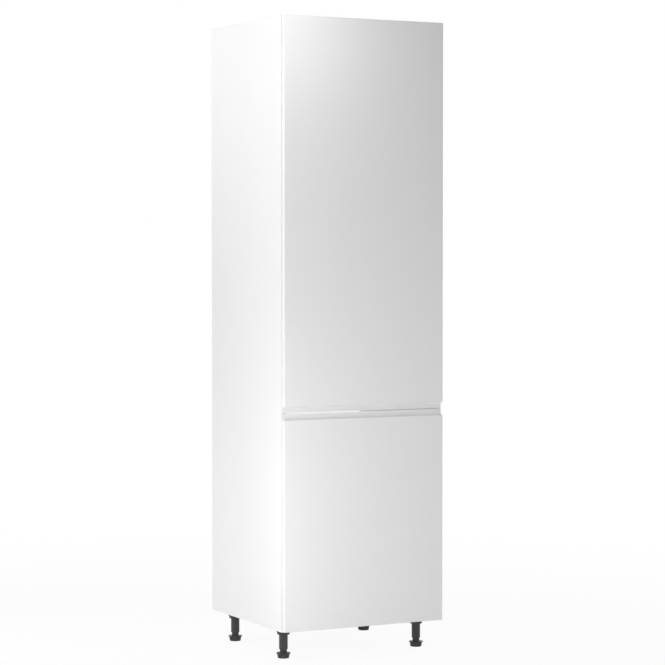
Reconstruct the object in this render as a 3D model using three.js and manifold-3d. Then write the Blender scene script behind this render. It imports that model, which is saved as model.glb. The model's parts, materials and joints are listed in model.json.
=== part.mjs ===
// A tall two-door kitchen housing for a built-in fridge, in millimetres.
// The origin is on the floor under the middle of its outer box: X to the right, Y to the rear, Z up.

import * as THREE from "three";
import { mergeVertices } from "three/addons/utils/BufferGeometryUtils.js";
import Module from "manifold-3d";

const wasm = await Module();
wasm.setup();

// Carcass
const housingWidth = 600;
const carcassDepth = 560;
const carcassHeight = 2030;
const legHeight = 100;
const boardThickness = 16;
const ductDepth = 50;
const nicheHeight = 1780;
const bandRadius = 1;
const backPanelThickness = 3;
const grooveDepth = 8;
const grooveEndGap = 0.6;
const railHeight = 100;
const middleRailHeight = 1240;

// Doors
const doorThickness = 18;
const bumperGap = 2;
const doorSideReveal = 1.5;
const doorEndReveal = 2;
const doorToDoorGap = 3;
const lowerDoorHeight = 720;
const doorEdgeRadius = 2;
const gripHeight = 20.5;
const gripDepth = 14.5;
const gripCoveRadius = 10;
const gripLipRadius = 1;
const doorBackRadius = 0.5;

// Door bumpers
const bumperRadius = 4.5;
const bumperCrownRadius = 3;
const bumperInset = 30;

// Legs
const legSideInset = 47;
const frontLegInset = 84;
const rearLegInset = 90;
const footRadius = 19;
const footTopRadius = 21.25;
const footHeight = 14.5;
const footRibDepth = 0.9;
const rimRadius = 24;
const rimHeight = 3.5;
const rimEdgeRadius = 1.2;
const spindleRadius = 12.5;
const spindleShow = 12;
const spindleHold = 32;
const spindleBevel = 1.5;
const tubeRadius = 14.75;
const tubeHeight = 49;
const tubeEndWall = 6;
const tubeFlare = 2.2;
const tubeFlareHeight = 3;
const spigotRadius = 12;
const spigotHeight = 13;
const socketRadius = 21;
const socketDraft = 0.8;
const socketEdgeRadius = 1.5;
const flangeRadius = 32;
const flangeThickness = 4;
const gussetThickness = 3;
const gussetReach = 9;
const gussetDrop = 11;
const flangeHoles = 4;
const flangeHoleCircle = 26.5;

// Concealed hinges. Plan places are [out from the hinge panel's inner face, back from the carcass front].
const outerArmPivot = [-26, 21.4];
const outerCupPivot = [5.2, -3.8];
const innerArmPivot = [-17.5, -6.8];
const innerCupPivot = [1.4, -7.5];
const openPivotPlay = 1.9;
const pinRadius = 1.5;
const eyeWall = 1;
const linkHalfWidth = 5.2;
const forkHalfGap = 2.9;
const forkReach = 21;
const outerLinkThickness = 2;
const outerLinkBow = 5.4;
const innerLinkThickness = 2.4;
const cupRadius = 17.5;
const cupDepth = 11.5;
const cupWall = 1;
const cupCornerRadius = 1.5;
const cupEdgeDistance = 4;
const cupRimWidth = 1.2;
const cupFlangeThickness = 1;
const cupFlangeWidth = 19;
const cupFlangeHeight = 56;
const cupFlangeCorner = 6;
const cupFlangeOffset = 9.5;
const cupScrewSpread = 45;
const cupEarThickness = 1.5;
const armLength = 66;
const armWall = 1.4;
const armTipRadius = 3.2;
const armShoulder = 34;
const armTailHeight = 18;
const armWebLead = 5;
const armNeck = 7;
const armCorner = 2;
const armBend = 6;
const armSlotSetback = 50;
const armSlotLength = 13;
const armSlotWidth = 6;
const armScrewSetback = 33;
const plateSetback = 37;
const plateWingHeight = 52;
const plateWingWidth = 20;
const plateWingThickness = 2.2;
const plateLift = 0.8;
const plateBaseLength = 44;
const plateBaseHeight = 18;
const plateWingCorner = 6;
const plateRailHeight = 10;
const plateRailSlope = 6;
const plateCorner = 2;
const plateScrewSpread = 32;
const screwHoleRadius = 2.25;
const hingeEndInset = 100;
const upperHinges = 3;
const lowerHinges = 2;

// Wall brackets
const bracketThickness = 2;
const bracketHeight = 60;
const bracketReach = 40;
const bracketDrop = 20;
const bracketCorner = 6;
const bracketSlotWidth = 7;
const bracketSlotLength = 20;
const bracketScrewSpread = 32;
const bracketScrewInset = 14;

// Walls and clearances shared by the whole model
const fitGap = 0.3;
const overrun = 1;

// Steps along an arc, a turned profile and a full circle.
const cornerSteps = 3;
const coveSteps = 6;
const turnSteps = 16;
const cupSteps = 20;
const circleSteps = 8;
const holeSteps = 6;
const footRibs = 20;

// Planes worked out from the sizes above
const housingDepth = doorThickness + bumperGap + carcassDepth;
const frontY = -housingDepth / 2;
const doorBackY = frontY + doorThickness;
const carcassFrontY = doorBackY + bumperGap;
const rearY = housingDepth / 2;
const boardRearY = rearY - ductDepth;
const outerX = housingWidth / 2;
const innerX = outerX - boardThickness;
const innerWidth = 2 * innerX;
const carcassBottomZ = legHeight;
const carcassTopZ = legHeight + carcassHeight;
const nicheFloorZ = carcassBottomZ + boardThickness;
const shelfZ = nicheFloorZ + nicheHeight;
const topPanelZ = carcassTopZ - boardThickness;
const doorWidth = housingWidth - 2 * doorSideReveal;
const lowerDoorZ = carcassBottomZ + doorEndReveal;
const upperDoorZ = lowerDoorZ + lowerDoorHeight + doorToDoorGap;
const upperDoorHeight = carcassTopZ - doorEndReveal - upperDoorZ;

// Materials
function material(colour, roughness, metalness = 0) {
  return new THREE.MeshStandardMaterial({ color: colour, roughness, metalness });
}

const whiteGloss = material(0xf2f2f1, 0.18);
const whiteBoard = material(0xeeeeec, 0.5);
const fibreboard = material(0xe6e4df, 0.7);
const blackPlastic = material(0x2b2b2c, 0.45);
const platedSteel = material(0xb9bbbd, 0.32, 1);
const clearRubber = material(0xd9dbda, 0.4);

// Directions for extruded profiles. Each turn carries a drawing from its own XY plane.
const xAxis = new THREE.Vector3(1, 0, 0);
const yAxis = new THREE.Vector3(0, 1, 0);
const zAxis = new THREE.Vector3(0, 0, 1);
const upright = new THREE.Matrix4();
const alongX = new THREE.Matrix4().makeBasis(yAxis, zAxis, xAxis);
const towardsFront = new THREE.Matrix4().makeBasis(xAxis, zAxis, yAxis.clone().negate());

// A solid from a closed geometry, with its shared corners merged.
function solidFrom(geometry) {
  const loose = geometry.index ? geometry.toNonIndexed() : geometry;
  const bare = new THREE.BufferGeometry();
  bare.setAttribute("position", loose.getAttribute("position"));
  const merged = mergeVertices(bare);
  return new wasm.Manifold(
    new wasm.Mesh({
      numProp: 3,
      vertProperties: merged.attributes.position.array,
      triVerts: new Uint32Array(merged.index.array),
    }),
  );
}

// A faceted geometry from a solid.
function geometryFrom(solid) {
  const { vertProperties, triVerts } = solid.getMesh();
  const shared = new THREE.BufferGeometry();
  shared.setAttribute("position", new THREE.BufferAttribute(vertProperties, 3));
  shared.setIndex(new THREE.BufferAttribute(triVerts, 1));
  const faceted = shared.toNonIndexed();
  faceted.computeVertexNormals();
  return faceted;
}

function joined(solids) {
  return solids.reduce((whole, solid) => whole.add(solid));
}

function cut(body, tools) {
  return tools.reduce((whole, tool) => whole.subtract(tool), body);
}

// An outline from corners of [across, up, radius, steps], where a radius rounds its corner.
function roundedShape(corners) {
  const points = [];
  corners.forEach(([x, y, radius = 0, steps = cornerSteps], i) => {
    const corner = new THREE.Vector2(x, y);
    if (radius === 0) {
      points.push(corner);
      return;
    }
    const before = corners.at(i - 1);
    const after = corners[(i + 1) % corners.length];
    const toBefore = new THREE.Vector2(before[0] - x, before[1] - y).normalize();
    const toAfter = new THREE.Vector2(after[0] - x, after[1] - y).normalize();
    const half = Math.acos(toBefore.dot(toAfter)) / 2;
    const toCentre = toBefore.clone().add(toAfter).normalize();
    const centre = corner.clone().addScaledVector(toCentre, radius / Math.sin(half));
    const spoke = corner.clone().addScaledVector(toBefore, radius / Math.tan(half)).sub(centre);
    const sweep = (Math.PI - 2 * half) * Math.sign(toAfter.cross(toBefore));
    for (let step = 0; step <= steps; step += 1) {
      const radial = spoke.clone().rotateAround(new THREE.Vector2(), (sweep * step) / steps);
      points.push(centre.clone().add(radial));
    }
  });
  return new THREE.Shape(points);
}

function rectangle(left, low, right, high, radius = 0) {
  return roundedShape([
    [left, low, radius],
    [right, low, radius],
    [right, high, radius],
    [left, high, radius],
  ]);
}

function circle(radius, x = 0, y = 0, steps = circleSteps) {
  const points = [];
  for (let step = 0; step < steps; step += 1) {
    const angle = (2 * Math.PI * step) / steps;
    points.push(new THREE.Vector2(x + radius * Math.cos(angle), y + radius * Math.sin(angle)));
  }
  return new THREE.Shape(points);
}

// A slot's outline: two half circles joined by straight sides, along X or standing along Y.
function slot(x, y, length, width, standing = false) {
  const half = circleSteps / 2;
  const points = [];
  for (const end of [1, -1]) {
    for (let step = 0; step <= half; step += 1) {
      const angle = (-end * Math.PI) / 2 + (Math.PI * step) / half;
      const along = (end * (length - width) + width * Math.cos(angle)) / 2;
      const across = (width * Math.sin(angle)) / 2;
      const [dx, dy] = standing ? [across, along] : [along, across];
      points.push(new THREE.Vector2(x + dx, y + dy));
    }
  }
  return new THREE.Shape(points);
}

// A profile extruded from a start along its direction.
function extruded(shape, length, turn = upright, start = 0) {
  const geometry = new THREE.ExtrudeGeometry(shape, { depth: length, bevelEnabled: false });
  return solidFrom(geometry.translate(0, 0, start).applyMatrix4(turn));
}

// A profile of [radius, height] turned about the upright axis.
function turned(profile, steps = turnSteps) {
  const points = profile.map(([radius, height]) => new THREE.Vector2(radius, height));
  return solidFrom(new THREE.LatheGeometry(points, steps).rotateX(Math.PI / 2));
}

function mesh(name, solid, finish) {
  const part = new THREE.Mesh(geometryFrom(solid), finish);
  part.name = name;
  return part;
}

// Carcass

// A board lying between the side panels, banded along its front edge.
function lyingBoard() {
  const section = roundedShape([
    [carcassFrontY, 0, bandRadius],
    [boardRearY, 0],
    [boardRearY, boardThickness],
    [carcassFrontY, boardThickness, bandRadius],
  ]);
  return extruded(section, innerWidth, alongX, -innerX);
}

// The left side panel in plan, with the groove that holds the back panel.
function sidePanel() {
  const grooveFrontY = boardRearY - fitGap;
  const grooveRearY = boardRearY + backPanelThickness + fitGap;
  const grooveX = -innerX - grooveDepth;
  const plan = roundedShape([
    [-outerX, carcassFrontY, bandRadius],
    [-innerX, carcassFrontY, bandRadius],
    [-innerX, grooveFrontY],
    [grooveX, grooveFrontY],
    [grooveX, grooveRearY],
    [-innerX, grooveRearY],
    [-innerX, rearY],
    [-outerX, rearY],
  ]);
  return extruded(plan, carcassHeight, upright, carcassBottomZ);
}

function backPanel() {
  const reach = innerX + grooveDepth - grooveEndGap;
  const sheet = rectangle(-reach, shelfZ, reach, carcassTopZ);
  return extruded(sheet, backPanelThickness, towardsFront, -boardRearY - backPanelThickness);
}

function rearRail(lowZ) {
  const section = rectangle(rearY - boardThickness, lowZ, rearY, lowZ + railHeight);
  return extruded(section, innerWidth, alongX, -innerX);
}

function carcass() {
  const group = new THREE.Group();
  const left = mesh("side_panel_left", sidePanel(), whiteBoard);
  const right = mesh("side_panel_right", sidePanel().mirror([1, 0, 0]), whiteBoard);
  group.add(left, right);
  const boards = { bottom_panel: carcassBottomZ, fixed_shelf: shelfZ, top_panel: topPanelZ };
  for (const [name, height] of Object.entries(boards)) {
    const board = mesh(name, lyingBoard(), whiteBoard);
    board.position.z = height;
    group.add(board);
  }
  group.add(mesh("back_panel", backPanel(), fibreboard));
  const rails = {
    rear_rail_lower: carcassBottomZ,
    rear_rail_middle: middleRailHeight,
    rear_rail_upper: carcassTopZ - railHeight,
  };
  for (const [name, height] of Object.entries(rails)) {
    group.add(mesh(name, rearRail(height), whiteBoard));
  }
  return group;
}

// Doors

// The section of a door of this height, from its front face back, with the grip along its top edge.
function doorSection(height) {
  const lip = height - gripHeight;
  return roundedShape([
    [0, 0, doorEdgeRadius],
    [doorThickness, 0, doorBackRadius],
    [doorThickness, height, doorBackRadius],
    [gripDepth, height, doorBackRadius],
    [gripDepth, lip, gripCoveRadius, coveSteps],
    [0, lip, gripLipRadius],
  ]);
}

// A door standing on Z = 0 with its grip at the top, bored from behind for the hinge cups.
function door(height, boreHeights) {
  const slab = extruded(doorSection(height), doorWidth, alongX, -doorWidth / 2);
  const plan = roundedShape([
    [-doorWidth / 2, 0, doorEdgeRadius],
    [doorWidth / 2, 0, doorEdgeRadius],
    [doorWidth / 2, doorThickness, doorBackRadius],
    [-doorWidth / 2, doorThickness, doorBackRadius],
  ]);
  const boreX = doorWidth / 2 - cupEdgeDistance - cupRadius;
  const bores = boreHeights.map((boreZ) => {
    const mouth = circle(cupRadius + fitGap, boreX, boreZ, cupSteps);
    return extruded(mouth, cupDepth + fitGap + overrun, towardsFront, -doorThickness - overrun);
  });
  return cut(slab.intersect(extruded(plan, height)), bores);
}

// Heights of a door's hinges above its lower edge, spread evenly between the end insets.
function hingeHeights(height, count) {
  const span = height - 2 * hingeEndInset;
  return Array.from({ length: count }, (_, i) => hingeEndInset + (span * i) / (count - 1));
}

function lowerDoor() {
  const heights = hingeHeights(lowerDoorHeight, lowerHinges);
  const part = mesh("lower_door", door(lowerDoorHeight, heights), whiteGloss);
  part.position.set(0, frontY, lowerDoorZ);
  return part;
}

// The upper door is made like the lower one and turned over, so its grip is along its lower edge.
function upperDoor() {
  const heights = hingeHeights(upperDoorHeight, upperHinges);
  const flipped = door(upperDoorHeight, heights).mirror([0, 0, 1]).translate([0, 0, upperDoorHeight]);
  const part = mesh("upper_door", flipped, whiteGloss);
  part.position.set(0, frontY, upperDoorZ);
  return part;
}

// A domed pad stuck to the back of a door, where it meets the side panel's edge.
function bumper(name, height) {
  const depth = bumperGap - fitGap;
  const dome = turned([
    [0, 0],
    [bumperRadius, 0],
    [bumperRadius, depth / 2],
    [bumperCrownRadius, depth],
    [0, depth],
  ], circleSteps);
  const part = mesh(name, dome, clearRubber);
  part.rotation.x = -Math.PI / 2;
  part.position.set(-(outerX + innerX) / 2, doorBackY, height);
  return part;
}

function doors() {
  const group = new THREE.Group();
  group.add(lowerDoor(), upperDoor());
  group.add(bumper("lower_door_bumper_bottom", lowerDoorZ + bumperInset));
  group.add(bumper("lower_door_bumper_top", lowerDoorZ + lowerDoorHeight - bumperInset));
  group.add(bumper("upper_door_bumper_bottom", upperDoorZ + bumperInset));
  group.add(bumper("upper_door_bumper_top", upperDoorZ + upperDoorHeight - bumperInset));
  return group;
}

// Hinges

const cupAcross = boardThickness - doorSideReveal - cupEdgeDistance - cupRadius;
const cupPlace = new THREE.Matrix4().makeTranslation(cupAcross, 0, 0).multiply(towardsFront).toArray();
const pinHoleRadius = pinRadius + fitGap;
const eyeRadius = pinHoleRadius + eyeWall;
const armInside = linkHalfWidth + fitGap;
const armHalfWidth = armInside + armWall;
const armTop = outerArmPivot[0] - eyeRadius - fitGap - armWall;

// A plan profile extruded evenly to both sides of the hinge's middle plane.
function thick(shape, halfWidth) {
  return extruded(shape, 2 * halfWidth, upright, -halfWidth);
}

function at([x, y], radius, steps = circleSteps) {
  return circle(radius, x, y, steps);
}

// A strip from one pivot to the other, bowed to its left.
function strip(from, to, width, bow = 0, steps = 1) {
  const start = new THREE.Vector2(...from);
  const end = new THREE.Vector2(...to);
  const along = end.clone().sub(start).normalize();
  const left = new THREE.Vector2(-along.y, along.x);
  const edge = (side) =>
    Array.from({ length: steps + 1 }, (_, i) => {
      const share = i / steps;
      const offset = 4 * bow * share * (1 - share) + (side * width) / 2;
      return start.clone().lerp(end, share).addScaledVector(left, offset);
    });
  return new THREE.Shape([...edge(-1), ...edge(1).reverse()]);
}

// The cup's bowl is turned about the door's thickness. Its flange lies on the door's back.
function cup() {
  const brim = bumperGap - cupFlangeThickness;
  const floor = bumperGap + cupDepth;
  const inside = cupRadius - cupWall;
  const bowl = turned([
    [0, floor - cupWall],
    [inside, floor - cupWall],
    [inside, brim],
    [cupRadius, brim],
    [cupRadius, floor - cupCornerRadius],
    [cupRadius - cupCornerRadius, floor],
    [0, floor],
  ], cupSteps).transform(cupPlace);
  const wingX = cupAcross - cupFlangeOffset;
  const wing = rectangle(
    wingX - cupFlangeWidth / 2,
    -cupFlangeHeight / 2,
    wingX + cupFlangeWidth / 2,
    cupFlangeHeight / 2,
    cupFlangeCorner,
  );
  const rim = circle(cupRadius + cupRimWidth, cupAcross, 0, cupSteps);
  const flange = joined([
    extruded(wing, cupFlangeThickness, towardsFront, brim),
    extruded(rim, cupFlangeThickness, towardsFront, brim),
  ]);
  const mouth = extruded(circle(inside, cupAcross, 0, cupSteps), cupDepth, towardsFront);
  const holes = [-1, 1].map((side) => {
    const hole = circle(screwHoleRadius, wingX, (side * cupScrewSpread) / 2, holeSteps);
    return extruded(hole, cupDepth, towardsFront);
  });
  return joined([bowl, cut(flange, [mouth, ...holes]), cupEars(floor)]);
}

// Two ears stand in the cup and hold its pins. The outer link's pin is two stubs, clear of the inner link.
function cupEars(floor) {
  const [outerPinX, outerPinY] = outerCupPivot;
  const [innerPinX, innerPinY] = innerCupPivot;
  const reach = pinRadius + eyeWall;
  const ear = roundedShape([
    [innerPinX - reach, -floor + cupWall / 2],
    [outerPinX + reach, -floor + cupWall / 2],
    [outerPinX + reach, outerPinY + reach, reach / 2],
    [outerPinX - reach, outerPinY + reach, reach / 2],
    [innerPinX - reach, innerPinY, reach],
  ]);
  const earInside = linkHalfWidth + fitGap;
  const earOutside = earInside + cupEarThickness;
  const ears = joined([
    extruded(ear, cupEarThickness, upright, earInside),
    extruded(ear, cupEarThickness, upright, -earOutside),
  ]);
  const stub = (start) => extruded(at(outerCupPivot, pinRadius), earOutside - forkHalfGap, upright, start);
  const pins = joined([
    thick(at(innerCupPivot, pinRadius), earOutside),
    stub(forkHalfGap),
    stub(-earOutside),
  ]);
  const bowlInside = circle(cupRadius - cupWall / 2, cupAcross, 0, cupSteps);
  return joined([ears, pins]).intersect(extruded(bowlInside, floor, towardsFront));
}

// The outer link is a bowed strip with an eye at the arm and a fork at the cup.
function outerLink() {
  const body = joined([
    thick(strip(outerArmPivot, outerCupPivot, outerLinkThickness, -outerLinkBow, coveSteps), linkHalfWidth),
    thick(at(outerArmPivot, eyeRadius), linkHalfWidth),
    thick(at(outerCupPivot, eyeRadius), linkHalfWidth),
  ]);
  return cut(body, [
    thick(at(outerArmPivot, pinHoleRadius), linkHalfWidth + overrun),
    thick(at(outerCupPivot, pinHoleRadius), linkHalfWidth + overrun),
    thick(at(outerCupPivot, forkReach), forkHalfGap),
  ]);
}

// The inner link turns on the cup's pin. Its eye at the arm has play, as the linkage's open pivot.
function innerLink() {
  const halfWidth = forkHalfGap - fitGap;
  const openHole = pinRadius + openPivotPlay;
  const body = joined([
    thick(strip(innerArmPivot, innerCupPivot, innerLinkThickness), halfWidth),
    thick(at(innerArmPivot, openHole + eyeWall, turnSteps), halfWidth),
    thick(at(innerCupPivot, eyeRadius), halfWidth),
  ]);
  return cut(body, [
    thick(at(innerArmPivot, openHole, turnSteps), halfWidth + overrun),
    thick(at(innerCupPivot, pinHoleRadius), halfWidth + overrun),
  ]);
}

// The arm is a folded channel, open towards the panel, with both link pins across its cheeks.
function arm() {
  const clear = -plateWingThickness - plateLift;
  const [tipX, tipY] = innerArmPivot;
  const cheek = roundedShape([
    [clear, armLength, armCorner],
    [-armTailHeight, armLength, armCorner],
    [armTop, armShoulder, armBend],
    [armTop, outerArmPivot[1] - armWebLead, armWebLead],
    [tipX - armTipRadius, armNeck, armWebLead],
    [tipX - armTipRadius, tipY - armTipRadius, armTipRadius],
    [tipX + armTipRadius, tipY - armTipRadius, armTipRadius],
    [clear, outerArmPivot[1], armBend],
  ]);
  const webFront = outerArmPivot[1] - eyeRadius;
  const channel = new THREE.Shape([
    new THREE.Vector2(armLength, armLength + overrun),
    new THREE.Vector2(-armTailHeight + armWall, armLength + overrun),
    new THREE.Vector2(armTop + armWall, armShoulder),
    new THREE.Vector2(armTop + armWall, webFront),
    new THREE.Vector2(-armLength, webFront),
    new THREE.Vector2(-armLength, -armLength),
    new THREE.Vector2(armLength, -armLength),
  ]);
  const openings = [
    slot(armSlotSetback, 0, armSlotLength, armSlotWidth),
    circle(screwHoleRadius, armScrewSetback, 0, holeSteps),
  ];
  const drills = openings.map((shape) => extruded(shape, armLength, alongX, -armLength - plateRailHeight));
  const folded = cut(thick(cheek, armHalfWidth), [thick(channel, armInside), ...drills]);
  return joined([
    folded,
    thick(at(outerArmPivot, pinRadius), armHalfWidth),
    thick(at(innerArmPivot, pinRadius), armHalfWidth),
  ]);
}

// The mounting plate has a rail that the arm straddles and two wings screwed to the panel.
function mountingPlate() {
  const wings = rectangle(
    plateSetback - plateWingWidth / 2,
    -plateWingHeight / 2,
    plateSetback + plateWingWidth / 2,
    plateWingHeight / 2,
    plateWingCorner,
  );
  const base = rectangle(
    plateSetback - plateBaseLength / 2,
    -plateBaseHeight / 2,
    plateSetback + plateBaseLength / 2,
    plateBaseHeight / 2,
    plateCorner,
  );
  const railFront = plateSetback - plateBaseLength / 2 + plateCorner;
  const railRear = plateSetback + plateBaseLength / 2 - plateCorner;
  const rail = roundedShape([
    [-plateWingThickness / 2, railFront],
    [-plateWingThickness / 2, railRear],
    [-plateRailHeight, railRear, plateCorner],
    [-plateRailHeight, railFront + plateRailSlope, plateCorner],
    [-plateWingThickness - plateLift, railFront],
  ]);
  const plate = joined([
    extruded(wings, plateWingThickness, alongX, -plateWingThickness),
    extruded(base, plateWingThickness, alongX, -plateWingThickness),
    thick(rail, linkHalfWidth),
  ]);
  const holes = [-1, 1].map((side) => {
    const hole = circle(screwHoleRadius, plateSetback, (side * plateScrewSpread) / 2, holeSteps);
    return extruded(hole, plateWingThickness + 2 * overrun, alongX, -plateWingThickness - overrun);
  });
  return cut(plate, holes);
}

// One hinge. Its middle plane is Z = 0, and its origin is where the panel's inner face meets the front.
function hinge(prefix) {
  const group = new THREE.Group();
  group.add(mesh(prefix + "_cup", cup(), platedSteel));
  group.add(mesh(prefix + "_arm", arm(), platedSteel));
  group.add(mesh(prefix + "_plate", mountingPlate(), platedSteel));
  group.add(mesh(prefix + "_outer_link", outerLink(), platedSteel));
  group.add(mesh(prefix + "_inner_link", innerLink(), platedSteel));
  return group;
}

function hinges() {
  const group = new THREE.Group();
  const rows = [
    ["lower_hinge", hingeHeights(lowerDoorHeight, lowerHinges).map((height) => lowerDoorZ + height)],
    ["upper_hinge", hingeHeights(upperDoorHeight, upperHinges).map((height) => upperDoorZ + height)],
  ];
  for (const [prefix, heights] of rows) {
    heights.forEach((height, i) => {
      const one = hinge(prefix + "_" + (i + 1));
      one.position.set(innerX, carcassFrontY, height);
      group.add(one);
    });
  }
  return group;
}

// Legs

// The foot: a ribbed base that widens upwards, a rim to turn it by, and the screw above.
function foot() {
  const steps = 2 * footRibs;
  const ring = (radius, ribDepth, height) =>
    Array.from({ length: steps }, (_, i) => {
      const angle = (2 * Math.PI * i) / steps;
      const reach = radius - (i % 2) * ribDepth;
      return [reach * Math.cos(angle), reach * Math.sin(angle), height];
    });
  const base = ringLoft([
    ring(footRadius, footRibDepth, 0),
    ring(footTopRadius, footRibDepth, footHeight),
  ]);
  const rimTop = footHeight + rimHeight;
  const screwTop = rimTop + spindleShow + spindleHold;
  const screw = turned([
    [0, footHeight],
    [rimRadius - rimEdgeRadius, footHeight],
    [rimRadius, footHeight + rimEdgeRadius],
    [rimRadius, rimTop - rimEdgeRadius],
    [rimRadius - rimEdgeRadius, rimTop],
    [spindleRadius, rimTop],
    [spindleRadius, screwTop - spindleBevel],
    [spindleRadius - spindleBevel, screwTop],
    [0, screwTop],
  ]);
  return base.add(screw);
}

// A closed solid through rings of equally many points, listed from the lowest.
function ringLoft(rings) {
  const count = rings[0].length;
  const points = rings.flat();
  const triangles = [];
  for (let level = 0; level < rings.length - 1; level += 1) {
    for (let i = 0; i < count; i += 1) {
      const next = (i + 1) % count;
      const low = level * count;
      const high = low + count;
      triangles.push(low + i, low + next, high + next, low + i, high + next, high + i);
    }
  }
  for (const [level, flip] of [[0, true], [rings.length - 1, false]]) {
    const centre = points.length;
    points.push([0, 0, rings[level][0][2]]);
    for (let i = 0; i < count; i += 1) {
      const a = level * count + i;
      const b = level * count + ((i + 1) % count);
      triangles.push(...(flip ? [centre, b, a] : [centre, a, b]));
    }
  }
  const geometry = new THREE.BufferGeometry();
  geometry.setAttribute("position", new THREE.Float32BufferAttribute(points.flat(), 3));
  geometry.setIndex(triangles);
  return solidFrom(geometry);
}

// The tube: the screw runs in it from below, and its spigot plugs into the socket.
function legTube() {
  const low = footHeight + rimHeight + spindleShow;
  const shoulder = low + tubeHeight;
  const boreTop = shoulder - tubeEndWall;
  const bore = spindleRadius + fitGap;
  return turned([
    [0, boreTop],
    [bore, boreTop],
    [bore, low],
    [tubeRadius, low],
    [tubeRadius, shoulder - tubeFlareHeight],
    [tubeRadius + tubeFlare, shoulder],
    [spigotRadius, shoulder],
    [spigotRadius, shoulder + spigotHeight],
    [0, shoulder + spigotHeight],
  ]);
}

// The socket: a flange screwed under the bottom panel, braced by gussets.
function legSocket() {
  const mouth = footHeight + rimHeight + spindleShow + tubeHeight;
  const flangeLow = legHeight - flangeThickness;
  const boreTop = mouth + spigotHeight + fitGap;
  const body = turned([
    [0, boreTop],
    [spigotRadius + fitGap, boreTop],
    [spigotRadius + fitGap, mouth],
    [socketRadius - socketEdgeRadius, mouth],
    [socketRadius, mouth + socketEdgeRadius],
    [socketRadius + socketDraft, flangeLow],
    [flangeRadius, flangeLow],
    [flangeRadius, legHeight],
    [0, legHeight],
  ]);
  const fin = new THREE.Shape([
    new THREE.Vector2(spigotRadius + socketDraft, flangeLow + overrun),
    new THREE.Vector2(spigotRadius + socketDraft, flangeLow - gussetDrop),
    new THREE.Vector2(socketRadius, flangeLow - gussetDrop),
    new THREE.Vector2(socketRadius + gussetReach, flangeLow),
    new THREE.Vector2(socketRadius + gussetReach, flangeLow + overrun),
  ]);
  const gusset = extruded(fin, gussetThickness, towardsFront, -gussetThickness / 2);
  const hole = circle(screwHoleRadius, flangeHoleCircle, 0, holeSteps);
  const drill = extruded(hole, flangeThickness + 2 * overrun, upright, flangeLow - overrun);
  const turnDegrees = 360 / flangeHoles;
  const around = (solid, lead) =>
    Array.from({ length: flangeHoles }, (_, i) => solid.rotate([0, 0, (i + lead) * turnDegrees]));
  return cut(joined([body, ...around(gusset, 0)]), around(drill, 1 / 2));
}

function legs() {
  const group = new THREE.Group();
  const legX = outerX - legSideInset;
  const frontLegY = carcassFrontY + frontLegInset;
  const rearLegY = rearY - rearLegInset;
  const places = {
    front_left: [-legX, frontLegY],
    front_right: [legX, frontLegY],
    rear_left: [-legX, rearLegY],
    rear_right: [legX, rearLegY],
  };
  for (const [name, [x, y]] of Object.entries(places)) {
    const leg = new THREE.Group();
    leg.add(mesh("leg_socket_" + name, legSocket(), blackPlastic));
    leg.add(mesh("leg_tube_" + name, legTube(), blackPlastic));
    leg.add(mesh("foot_" + name, foot(), blackPlastic));
    leg.position.set(x, y, 0);
    group.add(leg);
  }
  return group;
}

// Wall brackets

// The left bracket: one flange is screwed to the side panel, the other takes the wall screw in a slot.
function wallBracket() {
  const top = carcassTopZ - railHeight - bracketDrop;
  const low = top - bracketHeight;
  const middle = (top + low) / 2;
  const reachX = -innerX + bracketReach;
  const reachY = rearY - bracketReach;
  const wallFlange = roundedShape([
    [-innerX, low],
    [reachX, low, bracketCorner],
    [reachX, top, bracketCorner],
    [-innerX, top],
  ]);
  const sideFlange = roundedShape([
    [rearY, low],
    [reachY, low, bracketCorner],
    [reachY, top, bracketCorner],
    [rearY, top],
  ]);
  const angle = joined([
    extruded(wallFlange, bracketThickness, towardsFront, -rearY),
    extruded(sideFlange, bracketThickness, alongX, -innerX),
  ]);
  const through = bracketThickness + 2 * overrun;
  const slotX = -innerX + (bracketReach + bracketThickness) / 2;
  const wallSlot = slot(slotX, middle, bracketSlotLength, bracketSlotWidth, true);
  const holes = [-1, 1].map((side) => {
    const holeZ = middle + (side * bracketScrewSpread) / 2;
    const hole = circle(screwHoleRadius, reachY + bracketScrewInset, holeZ, holeSteps);
    return extruded(hole, through, alongX, -innerX - overrun);
  });
  return cut(angle, [extruded(wallSlot, through, towardsFront, -rearY - overrun), ...holes]);
}

function wallBrackets() {
  const group = new THREE.Group();
  group.add(mesh("wall_bracket_left", wallBracket(), platedSteel));
  group.add(mesh("wall_bracket_right", wallBracket().mirror([1, 0, 0]), platedSteel));
  return group;
}

const housing = new THREE.Group();
housing.add(carcass(), doors(), hinges(), legs(), wallBrackets());

export default housing;
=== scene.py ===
# The looks of a tall two-door kitchen housing, in metres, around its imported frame.
import json
import math

import bmesh
import bpy
from mathutils import Matrix, Vector

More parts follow.
